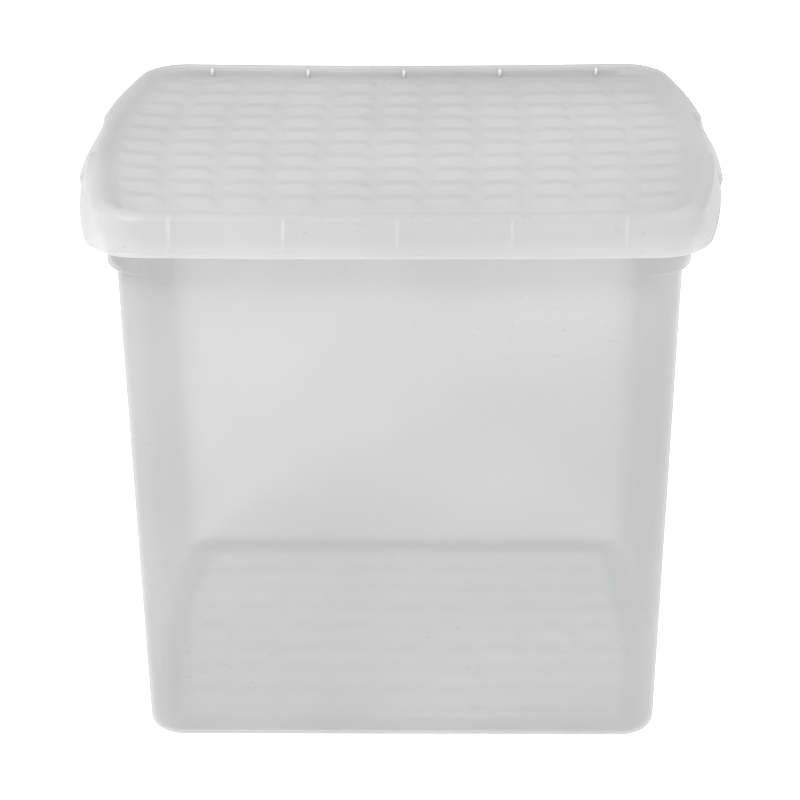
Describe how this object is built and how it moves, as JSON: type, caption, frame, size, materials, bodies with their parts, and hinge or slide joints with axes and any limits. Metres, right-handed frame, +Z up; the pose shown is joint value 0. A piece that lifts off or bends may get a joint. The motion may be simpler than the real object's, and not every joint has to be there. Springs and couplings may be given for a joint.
{
  "type": "storage tub with lid",
  "caption": "Tall translucent storage tub with drafted walls and bowed short sides, closed by a push-on lid with a woven relief panel and finger lips.",
  "frame": {"origin": "middle of the footprint, on the surface the tub stands on", "axes": "+Z up, +X along the width (the long way, towards one bowed short side), -Y towards the front"},
  "size_m": [0.4042, 0.315, 0.366],
  "materials": {
    "tub_plastic": "natural translucent polypropylene, satin, faintly frosted",
    "lid_plastic": "natural translucent polypropylene, satin, slightly denser than the tub"
  },
  "bodies": {
    "tub": {"tub": "tub_plastic"},
    "lid": {"lid": "lid_plastic"}
  },
  "joints": [
    {"name": "lid_lift", "type": "slide", "parent": "tub", "child": "lid", "axis": [0, 0, 1], "range_m": [0, 0.2]}
  ]
}
